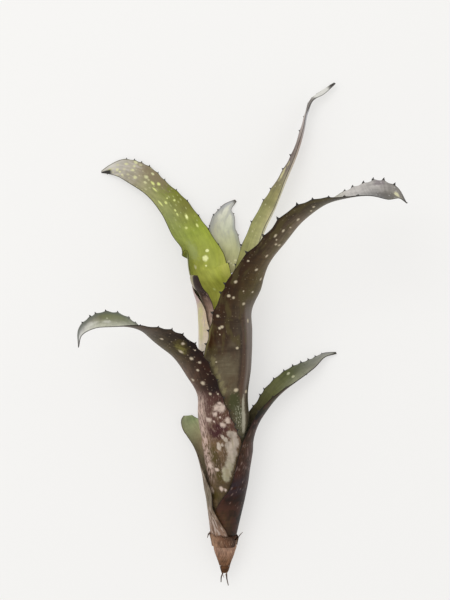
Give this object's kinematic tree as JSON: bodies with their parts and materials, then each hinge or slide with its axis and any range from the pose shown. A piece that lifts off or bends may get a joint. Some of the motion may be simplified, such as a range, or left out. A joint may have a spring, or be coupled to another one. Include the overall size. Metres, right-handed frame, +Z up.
{
  "type": "billbergia",
  "caption": "Tubular bromeliad offset as cut, lying on its back: strap leaves with spiny edges wrap a tapering stem and arch out at the open end.",
  "frame": {"origin": "on the surface that the plant lies on, under the middle of its bounding box", "axes": "+Y from the cut end of the stem to the leaf tips, +Z up from the surface, +X to the right when seen from above with the tips away from the viewer"},
  "size_m": [0.1882, 0.3064, 0.0821],
  "materials": {
    "stem": "rough",
    "dry_bract": "rough",
    "root": "rough",
    "leaf_short_left": "satin",
    "leaf_lower_right": "satin",
    "leaf_lower_left": "satin",
    "leaf_front_right": "satin",
    "leaf_back": "satin",
    "leaf_upper_right": "satin",
    "leaf_upper_left": "satin"
  },
  "bodies": {
    "root": {"stem": "stem", "bract_lower": "dry_bract", "bract_upper": "dry_bract", "root_left": "root", "root_right": "root", "leaf_short_left": "leaf_short_left", "leaf_lower_right": "leaf_lower_right", "leaf_lower_left": "leaf_lower_left", "leaf_front_right": "leaf_front_right", "leaf_back": "leaf_back", "leaf_upper_right": "leaf_upper_right", "leaf_upper_left": "leaf_upper_left"}
  },
  "joints": []
}
